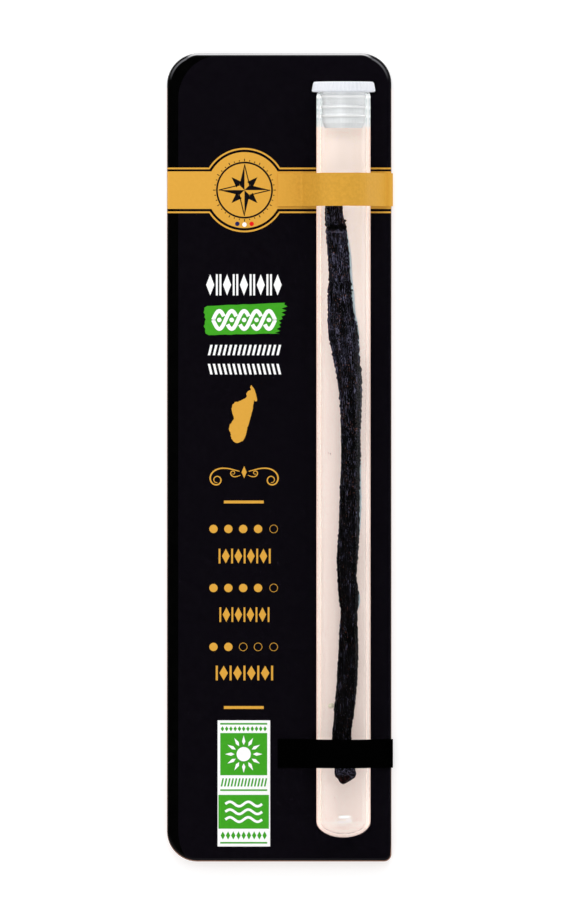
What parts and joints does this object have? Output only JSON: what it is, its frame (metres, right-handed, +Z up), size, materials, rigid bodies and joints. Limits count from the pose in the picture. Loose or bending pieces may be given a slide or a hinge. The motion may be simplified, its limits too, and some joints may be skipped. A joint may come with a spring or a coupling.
{
  "type": "vanilla pod in a carded glass tube",
  "caption": "Flat black card with a stoppered glass tube strapped in a trough along one side, holding a cured vanilla pod.",
  "frame": {"origin": "middle of the pack's footprint, on the card's flat back", "axes": "+X across the card towards the tube's side, +Y along the tube to the card's top edge, +Z up out of the printed face"},
  "size_m": [0.0554, 0.198, 0.0163],
  "materials": {
    "card_black": "black printed board with a faint satin varnish",
    "liner_paper": "plain cream paper, matt",
    "tube_glass": "clear, smooth",
    "cap_plastic": "milky soft plastic, slightly translucent",
    "pod_skin": "black-brown wrinkled skin with an oily sheen",
    "strap_gold": "gold-coloured paper with a fine grain",
    "strap_black": "plain black paper, matt"
  },
  "bodies": {
    "root": {"card": "card_black", "liner": "liner_paper", "glass_tube": "tube_glass", "cap": "cap_plastic", "vanilla_pod": "pod_skin", "upper_strap": "strap_gold", "lower_strap": "strap_black"}
  },
  "joints": []
}
